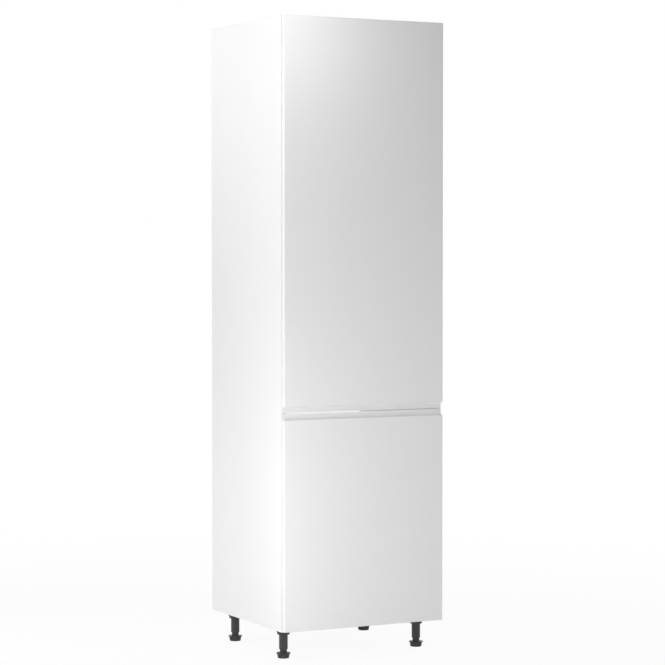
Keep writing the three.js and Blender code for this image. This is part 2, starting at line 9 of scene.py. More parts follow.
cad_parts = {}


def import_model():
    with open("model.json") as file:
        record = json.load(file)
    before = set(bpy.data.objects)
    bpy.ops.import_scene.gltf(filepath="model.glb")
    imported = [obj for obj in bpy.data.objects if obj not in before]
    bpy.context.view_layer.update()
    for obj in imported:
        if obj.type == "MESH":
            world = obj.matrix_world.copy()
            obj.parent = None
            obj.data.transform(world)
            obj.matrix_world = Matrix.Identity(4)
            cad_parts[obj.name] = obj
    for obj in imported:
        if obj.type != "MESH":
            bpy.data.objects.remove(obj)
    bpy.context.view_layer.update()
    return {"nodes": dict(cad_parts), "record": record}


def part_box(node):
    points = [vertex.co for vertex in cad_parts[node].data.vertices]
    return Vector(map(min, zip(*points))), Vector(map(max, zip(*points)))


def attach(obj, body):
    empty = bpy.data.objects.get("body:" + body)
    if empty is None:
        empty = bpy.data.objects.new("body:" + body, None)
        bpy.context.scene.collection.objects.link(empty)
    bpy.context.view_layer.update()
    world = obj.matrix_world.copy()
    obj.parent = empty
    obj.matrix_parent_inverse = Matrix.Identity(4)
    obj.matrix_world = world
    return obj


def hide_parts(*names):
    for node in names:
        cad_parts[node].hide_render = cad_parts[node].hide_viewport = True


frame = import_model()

MM = 0.001
NODES = frame["nodes"]
X = Vector((1, 0, 0))
Y = Vector((0, 1, 0))
Z = Vector((0, 0, 1))


# Shader trees

class Tree:
    """A node tree that is filled from left to right."""

    def __init__(self, tree):
        self.tree = tree
        self.tree.nodes.clear()

    def join(self, value, socket):
        if isinstance(value, bpy.types.NodeSocket):
            self.tree.links.new(value, socket)
        else:
            socket.default_value = value

    def add(self, kind, settings=None, **inputs):
        node = self.tree.nodes.new(kind)
        for key, value in (settings or {}).items():
            setattr(node, key, value)
        for key, value in inputs.items():
            wanted = key.replace("_", " ")
            self.join(value, next(s for s in node.inputs if s.name == wanted and s.enabled))
        return node

    def math(self, operation, *values):
        node = self.add("ShaderNodeMath", {"operation": operation})
        for socket, value in zip(node.inputs, values):
            self.join(value, socket)
        return node.outputs[0]

    def mix(self, factor, a, b):
        node = self.add("ShaderNodeMix", {"data_type": "RGBA"})
        by_name = {s.identifier: s for s in node.inputs}
        for name, value in (("Factor_Float", factor), ("A_Color", a), ("B_Color", b)):
            self.join(value, by_name[name])
        return next(s for s in node.outputs if s.identifier == "Result_Color")

    def span(self, value, low=0.0, high=1.0, to_low=0.0, to_high=1.0):
        """A value's place between low and high, eased and clamped."""
        node = self.add("ShaderNodeMapRange", {"interpolation_type": "SMOOTHSTEP"}, Value=value)
        for label, limit in (("From Min", low), ("From Max", high), ("To Min", to_low), ("To Max", to_high)):
            self.join(limit, node.inputs[label])
        return node.outputs["Result"]

    def place(self, stretch=(1, 1, 1)):
        """Where a point lies on the object. A stretch below 1 draws a pattern out along its axis."""
        metres = self.add("ShaderNodeTexCoord").outputs["Object"]
        sized = self.add("ShaderNodeMapping", {"vector_type": "POINT"}, Vector=metres, Scale=Vector(stretch))
        return sized.outputs[0]

    def noise(self, scale, detail=2.0, roughness=0.5, stretch=(1, 1, 1)):
        node = self.add(
            "ShaderNodeTexNoise", Vector=self.place(stretch), Scale=scale, Detail=detail, Roughness=roughness,
        )
        return node.outputs["Fac"]

    def use(self, name, **inputs):
        """A group placed in this tree, with its own values."""
        node = self.tree.nodes.new("ShaderNodeGroup")
        node.node_tree = bpy.data.node_groups[name]
        for key, value in inputs.items():
            self.join(value, node.inputs[key.replace("_", " ")])
        return node.outputs

    def relief(self, height, distance):
        return self.add("ShaderNodeBump", Height=height, Distance=distance, Strength=1.0).outputs[0]


def grey(value):
    return (value, value, value, 1)


def group(name, inputs, outputs):
    """A new shader group: its tree, input sockets and output node."""
    tree = bpy.data.node_groups.new(name, "ShaderNodeTree")
    for label, value in inputs.items():
        tree.interface.new_socket(label, in_out="INPUT", socket_type="NodeSocketFloat").default_value = value
    for label, kind in outputs.items():
        tree.interface.new_socket(label, in_out="OUTPUT", socket_type=kind)
    shader = Tree(tree)
    entry = shader.add("NodeGroupInput")
    return shader, entry.outputs, shader.add("NodeGroupOutput")


# Effects that several finishes share. Grains are in waves per metre

# The edge mask lightens edges: it is a painted edge highlight and wear together
WEAR_HIGHLIGHT_GRAIN = 900
WEAR_HIGHLIGHT_LEAST = 0.4
WEAR_HIGHLIGHT_SAMPLES = 6
WEAR_HIGHLIGHT_STARTS = 0.995
WEAR_HIGHLIGHT_FULL = 0.9
SMEAR_GRAIN = 5
SMEAR_STRETCH = (1, 1, 0.35)
DUST_GRAIN = 70
CHIP_GRAIN = 760.0
CHIP_STRETCH = (1, 1, 0.45)
CHIP_DUST_GRAIN = 1500
CHIP_DUST_SHARE = 0.45
VOID_GRAIN = 900
CHIP_DARK = (0.52, 0.38, 0.24, 1)
CHIP_PALE = (0.76, 0.60, 0.42, 1)
CHIP_DUST = (0.66, 0.51, 0.35, 1)
# Painted shade for the voids between chips
VOID_SHADE_BROWN = (0.20, 0.13, 0.08, 1)
DRAWN_STRETCH = (1, 0.06, 1)


def edge_wear_and_highlight_group():
    """1 where a face lies within the radius of an edge, broken up by noise: a painted edge highlight and
    wear, in one mask.
    """
    tree, given, out = group("edge rub", {"Radius": MM, "Wear": 0.5}, {"Mask": "NodeSocketFloat"})
    rounded = tree.add("ShaderNodeBevel", {"samples": WEAR_HIGHLIGHT_SAMPLES}, Radius=given["Radius"]).outputs[0]
    true = tree.add("ShaderNodeNewGeometry").outputs["Normal"]
    match = tree.add("ShaderNodeVectorMath", {"operation": "DOT_PRODUCT"})
    tree.join(rounded, match.inputs[0])
    tree.join(true, match.inputs[1])
    edge = tree.span(match.outputs["Value"], WEAR_HIGHLIGHT_STARTS, WEAR_HIGHLIGHT_FULL)
    broken = tree.span(tree.noise(WEAR_HIGHLIGHT_GRAIN, detail=3, roughness=0.6), low=0.35, high=0.65)
    patches = tree.math("ADD", WEAR_HIGHLIGHT_LEAST, tree.math("MULTIPLY", broken, 1 - WEAR_HIGHLIGHT_LEAST))
    kept = tree.math("MULTIPLY", edge, patches)
    tree.join(tree.math("MULTIPLY", kept, given["Wear"]), out.inputs["Mask"])


def handling_group():
    """Faint wiped smears and settled dust, as one mask."""
    tree, given, out = group("handling", {"Amount": 0.5}, {"Mask": "NodeSocketFloat"})
    smears = tree.noise(SMEAR_GRAIN, detail=4, roughness=0.6, stretch=SMEAR_STRETCH)
    wiped = tree.span(smears, low=0.45, high=0.75)
    dust = tree.span(tree.noise(DUST_GRAIN, roughness=0.7), low=0.3, high=0.8)
    both = tree.math("MULTIPLY", wiped, dust)
    tree.join(tree.math("MULTIPLY", both, given["Amount"]), out.inputs["Mask"])


def chipboard_group():
    """The cut edge of particle board: light and dark wood chips with small voids, painted dark brown as shade
    in the pits.
    """
    sockets = {"Color": "NodeSocketColor", "Height": "NodeSocketFloat"}
    tree, given, out = group("chipboard", {"Scale": CHIP_GRAIN}, sockets)
    chips = tree.add("ShaderNodeTexVoronoi", Vector=tree.place(CHIP_STRETCH), Scale=given["Scale"])
    tone = tree.add("ShaderNodeSeparateColor", Color=chips.outputs["Color"]).outputs[0]
    dust = tree.span(tree.noise(CHIP_DUST_GRAIN, detail=3, roughness=0.7), low=0.3, high=0.7)
    chip = tree.mix(tone, CHIP_DARK, CHIP_PALE)
    dusty = tree.mix(tree.math("MULTIPLY", dust, CHIP_DUST_SHARE), chip, CHIP_DUST)
    # The voids are sunk in height and painted dark as their shade
    voids = tree.span(tree.noise(VOID_GRAIN, detail=3, roughness=0.7), low=0.62, high=0.72)
    tree.join(tree.mix(voids, dusty, VOID_SHADE_BROWN), out.inputs["Color"])
    tree.join(tree.math("SUBTRACT", tone, voids), out.inputs["Height"])


def drawn_metal_group():
    """Fine drawing marks along one axis."""
    tree, given, out = group("drawn metal", {"Scale": 300.0}, {"Height": "NodeSocketFloat"})
    tree.join(tree.noise(given["Scale"], detail=4.0, stretch=DRAWN_STRETCH), out.inputs["Height"])


def new_material(name):
    material = bpy.data.materials.new(name)
    material.use_nodes = True
    tree = Tree(material.node_tree)
    return material, tree, tree.add("ShaderNodeOutputMaterial")


def surface(tree, out, **inputs):
    """The material's own shader, joined to its output."""
    skin = tree.add("ShaderNodeBsdfPrincipled")
    for key, value in inputs.items():
        tree.join(value, skin.inputs[key.replace("_", " ")])
    tree.join(skin.outputs[0], out.inputs["Surface"])


# Materials. Grains are in waves per metre, reliefs in metres

DOOR_WHITE = 0.85
BOARD_WHITE = 0.84
FOIL_CLOUDS = 3
FOIL_TONE = 0.006
FOIL_WAVES = 160
FOIL_WAVE_RELIEF = 0.00004
BOARD_CLOUDS = 4
BOARD_TONE = 0.008
PEARL_GRAIN = 1500
CHIP_RELIEF = 0.0003
FIBRE_GRAIN = 260
FIBRE_STRETCH = (1, 1, 0.5)
FIBRE_RELIEF = 0.0001
SPARK_GRAIN = 2600
SPARK_RELIEF = 0.00003
# Radii of the edge mask on plastic and steel: a painted edge highlight and wear
PLASTIC_WEAR_HIGHLIGHT = 0.0006
STEEL_WEAR_HIGHLIGHT = 0.0004
STEEL_DRAWN = 700.0
STEEL_DRAWN_RELIEF = 0.00002
STEEL_GRAIN = 1800
STEEL_GRAIN_SHARE = 0.08
PAD_CLOUDS = 800
HARDBOARD_LIGHT = (0.33, 0.21, 0.12, 1)
HARDBOARD_DARK = (0.19, 0.11, 0.06, 1)
CORE_LIGHT = (0.62, 0.49, 0.34, 1)
CORE_DARK = (0.46, 0.34, 0.22, 1)
# The paler steel colours are for the edges: a painted edge highlight and wear
NICKEL_GREY = (0.66, 0.655, 0.64, 1)
NICKEL_WORN_HIGHLIT = (0.86, 0.85, 0.83, 1)
ZINC_GREY = (0.58, 0.59, 0.60, 1)
ZINC_WORN_HIGHLIT = (0.76, 0.77, 0.78, 1)


def gloss_foil():
    """Glossy white foil with the faint waviness of the board under it."""
    material, tree, out = new_material("glossy white foil")
    marks = tree.use("handling", Amount=1.0)["Mask"]
    clouds = tree.noise(FOIL_CLOUDS)
    tone = tree.mix(clouds, grey(DOOR_WHITE - FOIL_TONE), grey(DOOR_WHITE + FOIL_TONE))
    waves = tree.noise(FOIL_WAVES, roughness=0.4)
    surface(
        tree, out,
        Base_Color=tone,
        Roughness=tree.span(marks, to_low=0.10, to_high=0.17),
        Normal=tree.relief(waves, FOIL_WAVE_RELIEF),
        Coat_Weight=0.6,
        Coat_Roughness=0.05,
    )
    return material


def melamine(name, white, gloss, pearl):
    """Melamine or lacquer: its least roughness (gloss) and the height of its fine pearl grain."""
    material, tree, out = new_material(name)
    marks = tree.use("handling", Amount=1.0)["Mask"]
    clouds = tree.noise(BOARD_CLOUDS, detail=3)
    tone = tree.mix(clouds, grey(white - BOARD_TONE), grey(white + BOARD_TONE))
    grain = tree.noise(PEARL_GRAIN, detail=3, roughness=0.6)
    surface(
        tree, out,
        Base_Color=tone,
        Roughness=tree.span(marks, to_low=gloss, to_high=gloss + 0.12),
        Normal=tree.relief(grain, pearl),
    )
    return material


def chipboard():
    """Particle board where it is cut."""
    material, tree, out = new_material("cut particle board")
    chips = tree.use("chipboard")
    surface(
        tree, out,
        Base_Color=chips["Color"],
        Roughness=tree.span(chips["Height"], to_low=0.95, to_high=0.75),
        Normal=tree.relief(chips["Height"], CHIP_RELIEF),
    )
    return material


def fibreboard(name, light, dark):
    """Pressed wood fibre, for the back of the hardboard and the cores of the doors."""
    material, tree, out = new_material(name)
    fibres = tree.noise(FIBRE_GRAIN, detail=5, roughness=0.7, stretch=FIBRE_STRETCH)
    surface(
        tree, out,
        Base_Color=tree.mix(tree.span(fibres, low=0.3, high=0.7), dark, light),
        Roughness=tree.span(fibres, low=0.2, high=0.8, to_low=0.9, to_high=0.7),
        Normal=tree.relief(fibres, FIBRE_RELIEF),
    )
    return material


def moulded_plastic(name, shade, rubbed, gloss, shine):
    """Moulded plastic with a spark-eroded grain, paler at its edges: a painted edge highlight and wear."""
    material, tree, out = new_material(name)
    # Painted edge highlight and wear: the edges take the paler colour
    wear_highlight = tree.use("edge rub", Radius=PLASTIC_WEAR_HIGHLIGHT, Wear=0.6)["Mask"]
    marks = tree.use("handling", Amount=1.0)["Mask"]
    grain = tree.noise(SPARK_GRAIN, roughness=0.6)
    surface(
        tree, out,
        Base_Color=tree.mix(wear_highlight, grey(shade), grey(rubbed)),
        Roughness=tree.span(marks, to_low=gloss, to_high=gloss + 0.2),
        Normal=tree.relief(grain, SPARK_RELIEF),
        Specular_IOR_Level=shine,
    )
    return material


def plated_steel(name, colour, worn, gloss):
    """Plated pressed steel, brighter along its edges: a painted edge highlight and wear."""
    material, tree, out = new_material(name)
    # Painted edge highlight and wear: the edges take the brighter colour
    wear_highlight = tree.use("edge rub", Radius=STEEL_WEAR_HIGHLIGHT, Wear=0.8)["Mask"]
    drawn = tree.use("drawn metal", Scale=STEEL_DRAWN)["Height"]
    marks = tree.use("handling", Amount=1.0)["Mask"]
    fine = tree.math("MULTIPLY", tree.noise(STEEL_GRAIN, detail=3, roughness=0.6), STEEL_GRAIN_SHARE)
    surface(
        tree, out,
        Base_Color=tree.mix(wear_highlight, colour, worn),
        Metallic=1.0,
        Roughness=tree.math("ADD", fine, tree.span(marks, to_low=gloss, to_high=gloss + 0.1)),
        Normal=tree.relief(drawn, STEEL_DRAWN_RELIEF),
    )
    return material


def clear_pad():
    """A soft clear pad, slightly milky."""
    material, tree, out = new_material("clear soft pad")
    cloudy = tree.noise(PAD_CLOUDS)
    surface(
        tree, out,
        Base_Color=tree.mix(cloudy, grey(0.88), grey(0.94)),
        Roughness=tree.span(cloudy, low=0.3, high=0.7, to_low=0.12, to_high=0.26),
        Transmission_Weight=0.75,
        IOR=1.45,
    )
    return material


for build_group in (edge_wear_and_highlight_group, handling_group, chipboard_group, drawn_metal_group):
    build_group()

FOIL = gloss_foil()
MELAMINE = melamine("satin white melamine", BOARD_WHITE, gloss=0.34, pearl=0.00003)
DOOR_BACK = melamine("white door back", BOARD_WHITE, gloss=0.42, pearl=0.00002)
EDGE_BAND = melamine("white edge band", BOARD_WHITE - 0.015, gloss=0.28, pearl=0.00001)
CHIPBOARD = chipboard()
HARDBOARD = fibreboard("raw hardboard", HARDBOARD_LIGHT, HARDBOARD_DARK)
CORE = fibreboard("door core", CORE_LIGHT, CORE_DARK)
LACQUER = melamine("lacquered hardboard", BOARD_WHITE - 0.03, gloss=0.5, pearl=0.00004)
# The paler second colours below are a painted edge highlight and wear on the edges
BLACK = moulded_plastic("black leg plastic", shade=0.052, rubbed=0.12, gloss=0.3, shine=0.3)
WHITE_CAP = moulded_plastic("white cap plastic", shade=0.82, rubbed=0.86, gloss=0.34, shine=0.5)
NICKEL = plated_steel("nickel-plated steel", NICKEL_GREY, NICKEL_WORN_HIGHLIT, gloss=0.22)
ZINC = plated_steel("zinc-plated steel", ZINC_GREY, ZINC_WORN_HIGHLIT, gloss=0.34)
PAD = clear_pad()


# Modelling by hand. Angles are in degrees: facets that meet at less than a curve's angle shade smooth

SAME_PLACE = 0.00002
DOUBLED = 0.000003
FLAT_ANGLE = 0.5
SHARP_ANGLE = 50
SHARP_CAD_ANGLE = 40
BOARD_CURVES = 30
FINE_CURVES = 35
SMALL_CURVES = 40
COARSE_CURVES = 50
ROUND_SIDES = 96
HOLE_SIDES = 48


def deselect():
    bpy.ops.object.select_all(action="DESELECT")


def activate(piece):
    deselect()
    piece.select_set(True)
    bpy.context.view_layer.objects.active = piece


def mode(kind):
    bpy.ops.object.mode_set(mode=kind)


def begin(name, add, **options):
    """A new primitive, alone in the selection and open in edit mode."""
    deselect()
    add(**options)
    piece = bpy.context.object
    piece.name = name
    piece.data.name = name
    bpy.ops.object.transform_apply(location=True, rotation=True, scale=True)
    mode("EDIT")
    bpy.ops.mesh.select_all(action="DESELECT")
    return piece


def block(name, low, high):
    size = Vector(high) - Vector(low)
    centre = (Vector(high) + Vector(low)) / 2
    return begin(name, bpy.ops.mesh.primitive_cube_add, size=1, location=centre, scale=size)


def pick(piece, kind, wanted):
    """Selects the faces, edges or vertices that are wanted."""
    bpy.ops.mesh.select_mode(type=kind)
    bpy.ops.mesh.select_all(action="DESELECT")
    mesh = bmesh.from_edit_mesh(piece.data)
    elements = {"FACE": mesh.faces, "EDGE": mesh.edges, "VERT": mesh.verts}[kind]
    for element in elements:
        if wanted(element):
            element.select_set(True)
    bmesh.update_edit_mesh(piece.data)


def pick_all():
    bpy.ops.mesh.select_all(action="SELECT")


def near(a, b):
    return abs(a - b) < SAME_PLACE


def edge_at(**places):
    """A test for edges whose ends both lie at these coordinates."""
    return lambda edge: all(
        near(getattr(end.co, axis), place) for end in edge.verts for axis, place in places.items()
    )


def square_to(edge, *axes):
    """True for an edge that doesn't run along any of these axes."""
    first, second = (end.co for end in edge.verts)
    return all(near(getattr(first, axis), getattr(second, axis)) for axis in axes)


def bevel(width, segments):
    bpy.ops.mesh.bevel(offset=width, segments=segments, affect="EDGES", clamp_overlap=True)


def split(piece, point, normal):
    """A cut right round the piece that leaves it whole."""
    pick_all()
    bpy.ops.mesh.bisect(plane_co=point, plane_no=normal)


def close(piece, angle=BOARD_CURVES):
    """Leaves edit mode with normals outward and its curves shaded smooth."""
    pick_all()
    bpy.ops.mesh.normals_make_consistent(inside=False)
    mode("OBJECT")
    number_by_place(piece.data)
    smooth(piece, angle)
    return piece


def number_by_place(mesh):
    """Numbers a mesh's points and faces by where they are, so that every run gives the same mesh."""
    order = sorted(range(len(mesh.vertices)), key=lambda index: tuple(mesh.vertices[index].co))
    points = [mesh.vertices[index].co.copy() for index in order]
    number = {index: place for place, index in enumerate(order)}
    faces = []
    for polygon in mesh.polygons:
        ring = [number[index] for index in polygon.vertices]
        start = ring.index(min(ring))
        faces.append(ring[start:] + ring[:start])
    mesh.clear_geometry()
    mesh.from_pydata(points, [], sorted(faces))


def smooth(piece, angle=BOARD_CURVES, weighted=False):
    activate(piece)
    bpy.ops.object.shade_smooth_by_angle(angle=math.radians(angle))
    if weighted:
        apply(piece, "WEIGHTED_NORMAL", keep_sharp=True)


def apply(piece, kind, **settings):
    """Adds a modifier with these settings and applies it."""
    activate(piece)
    modifier = piece.modifiers.new(kind.lower(), kind)
    for key, value in settings.items():
        setattr(modifier, key, value)
    bpy.ops.object.modifier_apply(modifier=modifier.name)


def grown(name, sides, rings):
    """A round piece grown upwards from a circle, ring by ring of (radius, height)."""
    radius, height = rings[0]
    piece = begin(
        name, bpy.ops.mesh.primitive_circle_add,
        vertices=sides, radius=radius, fill_type="NGON", location=(0, 0, height),
    )
    pick_all()
    for wider, higher in rings[1:]:
        bpy.ops.mesh.extrude_region_move(TRANSFORM_OT_translate={"value": (0, 0, higher - height)})
        if wider != radius:
            bpy.ops.transform.resize(value=(wider / radius, wider / radius, 1))
        radius, height = wider, higher
    return piece


def arc(radius, height, reach, start, end, steps=5):
    """Rings along an arc, for a round edge. Angles are in degrees, from outwards to upwards."""
    angles = [math.radians(start + (end - start) * step / steps) for step in range(steps + 1)]
    return [(radius + reach * math.cos(a), height + reach * math.sin(a)) for a in angles]


def rings_from(radius, height, steps):
    """Rings given in millimetres outwards from a radius and upwards from a height."""
    return [(radius + outwards * MM, height + upwards * MM) for outwards, upwards in steps]


def paint(piece, *materials):
    """Gives a piece its materials: the first everywhere, the others where their test says."""
    piece.data.materials.clear()
    for entry in materials:
        piece.data.materials.append(entry[0] if isinstance(entry, tuple) else entry)
    for polygon in piece.data.polygons:
        polygon.material_index = 0
        for index, entry in enumerate(materials[1:], 1):
            if entry[1](polygon):
                polygon.material_index = index


def seat(piece, body, slot, *nodes):
    """Attaches a piece to the body it moves with and hides the nodes it stands for. Its finish, slot, is not
    used.
    """
    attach(piece, body)
    if nodes:
        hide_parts(*nodes)


def body_of(node):
    bodies = frame["record"]["behaviour"]["bodies"]
    return next(body for body, members in bodies.items() if node in members)


def copy_of(model, name, matrix):
    """A copy of a model with its own mesh, moved to its place."""
    piece = bpy.data.objects.new(name, model.data.copy())
    piece.data.name = name
    piece.data.transform(matrix)
    bpy.context.scene.collection.objects.link(piece)
    return piece


def join(name, pieces):
    first = pieces[0]
    if len(pieces) > 1:
        activate(first)
        for piece in pieces:
            piece.select_set(True)
        bpy.ops.object.join()
    first.name = name
    return first


def round_edges(piece, width, angle=SHARP_ANGLE):
    """Eases every edge that is sharper than this."""
    apply(
        piece, "BEVEL", width=width, segments=2,
        limit_method="ANGLE", angle_limit=math.radians(angle), miter_outer="MITER_ARC",
    )


def discard(*pieces):
    for piece in pieces:
        bpy.data.objects.remove(piece)


def facing(place, direction):
    """A place for a model that points up, turned to face this way."""
    turn = Z.rotation_difference(Vector(direction)).to_matrix().to_4x4()
    return Matrix.Translation(place) @ turn


def merge(piece, facets=True):
    """Merges doubled points, and flat facets into whole faces."""
    activate(piece)
    mode("EDIT")
    pick_all()
    bpy.ops.mesh.remove_doubles(threshold=DOUBLED)
    if facets:
        bpy.ops.mesh.dissolve_limited(angle_limit=math.radians(FLAT_ANGLE))
    mode("OBJECT")


def combine(piece, other, operation):
    apply(piece, "BOOLEAN", operation=operation, solver="EXACT", object=other)
    discard(other)


def unite(piece, other):
    combine(piece, other, "UNION")


def cut(piece, other):
    combine(piece, other, "DIFFERENCE")


def bored(piece, places, direction, radius, depth, sides=HOLE_SIDES):
    """Sinks round holes into a piece from these places on its surface."""
    cutters = []
    for place in places:
        cutter = begin(
            "cutter", bpy.ops.mesh.primitive_cylinder_add,
            vertices=sides, radius=radius, depth=2 * depth,
        )
        mode("OBJECT")
        cutter.data.transform(facing(place, direction))
        cutters.append(cutter)
    cut(piece, join("cutter", cutters))


def eased(node, suffix, width):
    """A copy of a CAD node with its facets merged into whole faces and its edges eased."""
    piece = bpy.data.objects.new(node + suffix, NODES[node].data.copy())
    bpy.context.scene.collection.objects.link(piece)
    merge(piece)
    round_edges(piece, width, SHARP_CAD_ANGLE)
    return piece


# Carcass boards

BAND = 1 * MM
SKIN = 0.1 * MM
EDGE_EASE = 0.25 * MM
SHEET_EASE = 0.1 * MM
SHEET_SKIN = 0.5 * MM
CAM_RADIUS = 7.5 * MM
CAM_SETBACK = 24 * MM
CAM_INSET = 60 * MM
CAM_SINK = 0.4 * MM
CAM_BORE = 3 * MM
PIN_HOLE_RADIUS = 2.5 * MM
PIN_HOLE_DEPTH = 9 * MM
PIN_HOLE_STEP = 32 * MM
PIN_HOLE_SIDES = 20
PIN_HOLES = 4
PIN_HOLES_START = 2
PIN_ROW_FRONT = 37 * MM
PIN_ROW_REAR = 60 * MM


def banded(node):
    """A board, split where the band along its front edge ends."""
    low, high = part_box(node)
    piece = eased(node, "_board", EDGE_EASE)
    mode("EDIT")
    split(piece, (0, low.y + BAND, 0), Y)
    mode("OBJECT")
    return piece, low, high


def face_board(piece, low, high):
    """White faces, a white band in front and bare chips behind."""
    smooth(piece, weighted=True)
    paint(
        piece, MELAMINE,
        (EDGE_BAND, lambda face: face.center.y < low.y + BAND),
        (CHIPBOARD, lambda face: face.center.y > high.y - SKIN),
    )


def side_panels():
    """The sides, each with two rows of shelf pin holes above the fixed shelf."""
    for side in ("left", "right"):
        node = "side_panel_" + side
        piece, low, high = banded(node)
        inward = X if side == "left" else -X
        inner_x = high.x if side == "left" else low.x
        shelf_low, shelf_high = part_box("fixed_shelf")
        rows = [shelf_low.y + PIN_ROW_FRONT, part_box("back_panel")[0].y - PIN_ROW_REAR]
        places = [
            Vector((inner_x, y, shelf_high.z + (PIN_HOLES_START + step) * PIN_HOLE_STEP))
            for y in rows for step in range(PIN_HOLES)
        ]
        bored(piece, places, inward, PIN_HOLE_RADIUS, PIN_HOLE_DEPTH, PIN_HOLE_SIDES)
        face_board(piece, low, high)
        seat(piece, body_of(node), "carcass_board", node)


def cam_places(node, normal):
    """Where cams sit on a board: near both ends, two along its depth or one on a rail."""
    low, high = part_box(node)
    xs = [low.x + CAM_SETBACK, high.x - CAM_SETBACK]
    if normal == Y:
        return [Vector((x, high.y, (low.z + high.z) / 2)) for x in xs]
    z = high.z if normal == Z else low.z
    ys = [low.y + CAM_INSET, high.y - CAM_INSET]
    return [Vector((x, y, z)) for x in xs for y in ys]


CAM_FACES = {
    "bottom_panel": -Z, "fixed_shelf": -Z, "top_panel": Z,
    "rear_rail_lower": Y, "rear_rail_middle": Y, "rear_rail_upper": Y,
}


def boards():
    """The level boards and the rails, bored for their cams."""
    for node, normal in CAM_FACES.items():
        rail = node.startswith("rear_rail")
        if rail:
            low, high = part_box(node)
            piece = eased(node, "_board", EDGE_EASE)
        else:
            piece, low, high = banded(node)
        bored(piece, cam_places(node, normal), normal, CAM_RADIUS, CAM_BORE)
        if rail:
            smooth(piece, weighted=True)
            paint(piece, MELAMINE, (CHIPBOARD, lambda face: face.center.z < low.z + SKIN))
        else:
            face_board(piece, low, high)
        seat(piece, body_of(node), "carcass_board", node)


def back_sheet():
    """The back of the top compartment: lacquered in front, raw behind and at its edges."""
    node = "back_panel"
    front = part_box(node)[0].y
    piece = eased(node, "_sheet", SHEET_EASE)
    smooth(piece, weighted=True)
    paint(piece, LACQUER, (HARDBOARD, lambda face: face.center.y > front + SHEET_SKIN))
    seat(piece, body_of(node), "back_board", node)


# Doors

GRIP_HEIGHT = 20.5 * MM
GRIP_DEPTH = 14.5 * MM
GRIP_COVE = 10 * MM
COVE_STEPS = 14
DOOR_ROUND = 2 * MM
DOOR_STEPS = 6
LIP_ROUND = 1 * MM
LIP_STEPS = 4
BACK_ROUND = 0.5 * MM
BACK_STEPS = 3
CUP_EDGE = 4 * MM
CUP_RADIUS = 17.5 * MM
CUP_DEPTH = 11.5 * MM
BORE_PLAY = 0.3 * MM
BUMPER_CROWN = 0.65
BUMPER_SIDES = 40


def door(node, grip_up):
    """A front with a grip milled along its meeting edge and bores for its hinge cups."""
    low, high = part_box(node)
    end, far_end = (high.z, low.z) if grip_up else (low.z, high.z)
    lip = end + math.copysign(GRIP_HEIGHT, far_end - end)
    wall = low.y + GRIP_DEPTH
    piece = block(
        node + "_front",
        (low.x, low.y, min(lip, far_end)), (high.x, high.y, max(lip, far_end)),
    )
    split(piece, (0, wall, 0), Y)
    pick(piece, "FACE", lambda f: near(f.calc_center_median().z, lip) and f.calc_center_median().y > wall)
    bpy.ops.mesh.extrude_region_move(TRANSFORM_OT_translate={"value": (0, 0, end - lip)})
    pick_all()
    bpy.ops.mesh.dissolve_limited(angle_limit=math.radians(FLAT_ANGLE))
    pick(piece, "EDGE", edge_at(y=wall, z=lip))
    bevel(GRIP_COVE, COVE_STEPS)
    corners = [edge_at(x=low.x, y=low.y), edge_at(x=high.x, y=low.y), edge_at(y=low.y, z=far_end)]
    pick(piece, "EDGE", lambda e: any(test(e) for test in corners))
    bevel(DOOR_ROUND, DOOR_STEPS)
    pick(piece, "EDGE", edge_at(y=low.y, z=lip))
    bevel(LIP_ROUND, LIP_STEPS)
    rims = [edge_at(x=low.x, y=high.y), edge_at(x=high.x, y=high.y), edge_at(y=high.y, z=far_end)]
    rims += [edge_at(y=high.y, z=end), edge_at(y=wall, z=end)]
    pick(piece, "EDGE", lambda e: any(test(e) for test in rims))
    bevel(BACK_ROUND, BACK_STEPS)
    close(piece)
    cup_x = high.x - CUP_EDGE - CUP_RADIUS
    cups = [name for name in NODES if name.startswith(node.split("_")[0]) and name.endswith("_cup")]
    heights = [sum(corner.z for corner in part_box(cup)) / 2 for cup in cups]
    places = [Vector((cup_x, high.y, height)) for height in heights]
    bored(piece, places, Y, CUP_RADIUS + BORE_PLAY, CUP_DEPTH + BORE_PLAY, ROUND_SIDES)
    smooth(piece, weighted=True)

    def in_bore(face):
        around = any((face.center - place).xz.length < CUP_RADIUS + MM for place in places)
        return around and low.y + MM < face.center.y < high.y - SKIN

    paint(piece, FOIL, (DOOR_BACK, lambda face: face.center.y > high.y - SKIN), (CORE, in_bore))
    seat(piece, body_of(node), "door_gloss", node)


def bumpers():
    """Clear domes stuck to the backs of the doors."""
    for node in [name for name in NODES if "_bumper_" in name]:
        low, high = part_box(node)
        radius = (high.x - low.x) / 2
        depth = high.y - low.y
        crown = depth * BUMPER_CROWN
        rings = [(radius, 0), *arc(radius - crown, depth - crown, crown, 0, 90, steps=8)]
        piece = close(grown(node + "_dome", BUMPER_SIDES, rings), COARSE_CURVES)
        piece.data.transform(facing(Vector(((low.x + high.x) / 2, low.y, (low.z + high.z) / 2)), Y))
        paint(piece, PAD)
        seat(piece, body_of(node), "bumper_rubber", node)


# Fasteners. The shares are of a head's own radius and height

HEAD_SIDES = 32
HEAD_CROWN = 0.7
HEAD_FOOT_RADIUS = 0.94
HEAD_FOOT_HEIGHT = 0.12
RECESS_REACH = 0.55
RECESS_WIDTH = 0.13
RECESS_DEPTH = 0.75
RECESS_TAPER = 0.45
STOUT_SCREW = (4 * MM, 1.7 * MM)
CAM_TOP = ((-0.15, -0.2), (-0.35, 0), (-1.6, 0), (-1.9, -0.4))
CAM_RECESS = (4 * MM, 0.8 * MM, 2 * MM)
CAM_RECESS_SINK = 0.4 * MM
CAP_PLAY = 0.3 * MM
CAP_CROWN = 0.8 * MM
CAP_BRIM = 0.2 * MM
CAP_HEIGHT = 1.15 * MM


